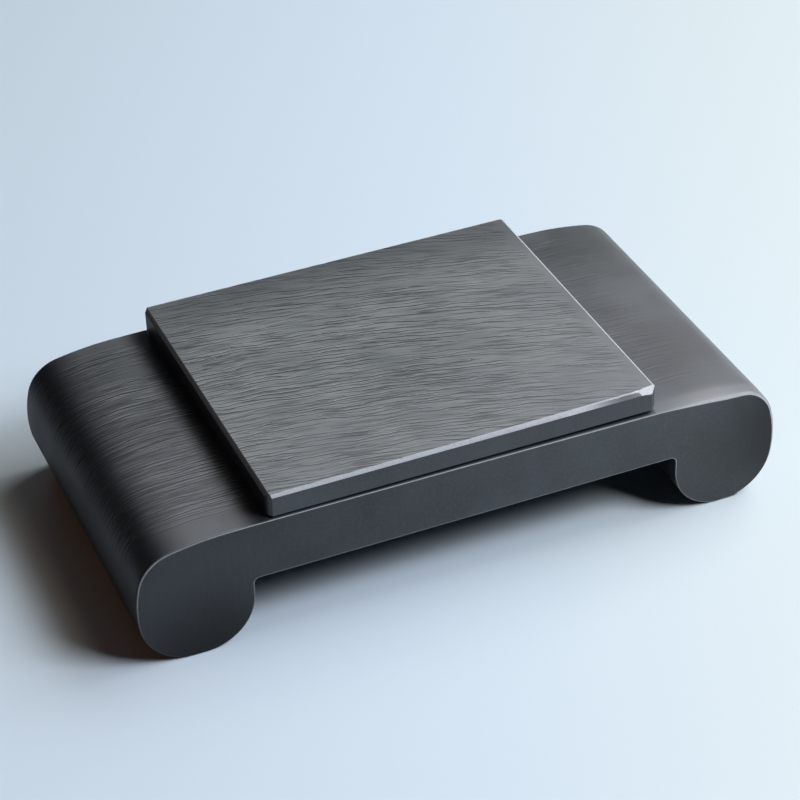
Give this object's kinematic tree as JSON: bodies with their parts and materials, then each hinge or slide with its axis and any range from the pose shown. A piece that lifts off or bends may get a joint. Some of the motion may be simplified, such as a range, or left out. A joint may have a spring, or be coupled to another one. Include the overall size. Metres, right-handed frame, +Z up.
{
  "type": "ink stone",
  "caption": "Low table-shaped ink stone on two rolled scroll feet, with a flat lift-off stone lid over its grinding pool.",
  "frame": {"origin": "middle of the ground under the feet", "axes": "+X along the table, +Y to the back, +Z up"},
  "size_m": [0.262, 0.138, 0.0628],
  "materials": {
    "base_stone": "honed dark slate, with cleft ridges over the two scrolls",
    "lid_stone": "dark slate with a ridged cleft top and honed edges"
  },
  "bodies": {
    "base": {"ink_stone_base": "base_stone"},
    "lid": {"lid": "lid_stone"}
  },
  "joints": [
    {"name": "lid_lift", "type": "slide", "parent": "base", "child": "lid", "axis": [0, 0, 1], "range_m": [0, 0.08]}
  ]
}
